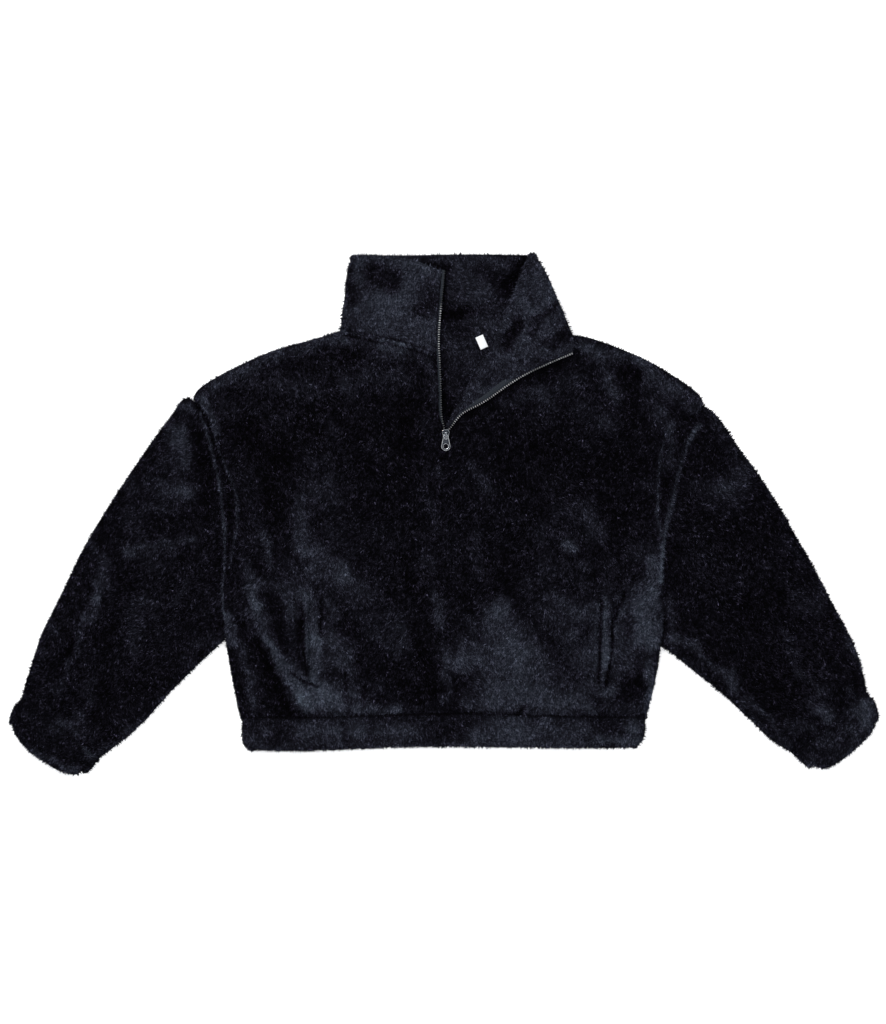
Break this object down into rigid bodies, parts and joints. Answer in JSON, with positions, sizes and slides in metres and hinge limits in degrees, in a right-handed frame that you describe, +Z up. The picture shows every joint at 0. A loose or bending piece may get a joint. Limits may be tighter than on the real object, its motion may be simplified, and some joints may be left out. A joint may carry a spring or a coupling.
{
  "type": "zip fleece",
  "caption": "Cropped plush half-zip fleece pullover laid flat, with a tall stand collar, one collar corner turned out, drop shoulders, slanted pockets and elastic hem and cuffs.",
  "frame": {"origin": "centre of the laid garment's bounding box, on the surface it lies on", "axes": "+X towards the wearer's left cuff, +Y up the garment towards the collar, +Z up off the surface"},
  "size_m": [1.1122, 0.6646, 0.0214],
  "materials": {
    "plush": "matte pile",
    "tape": "matte woven",
    "label": "satin",
    "metal": "satin"
  },
  "bodies": {
    "garment": {"back_panel": "plush", "front_panel": "plush", "sleeve_right": "plush", "sleeve_left": "plush", "collar": "plush", "hem_band": "plush", "cuff_right": "plush", "cuff_left": "plush", "pocket_welt_right": "plush", "pocket_welt_left": "plush", "zip_tape_right": "tape", "zip_tape_left": "tape", "neck_label": "label", "zip_slider": "metal"},
    "pull": {"zip_pull": "metal"}
  },
  "joints": [
    {"name": "pull_swing", "type": "hinge", "parent": "garment", "child": "pull", "pos_m": [0.00233, 0.10079, 0.01475], "axis": [-1, 0, 0], "range_deg": [0, 150]}
  ]
}
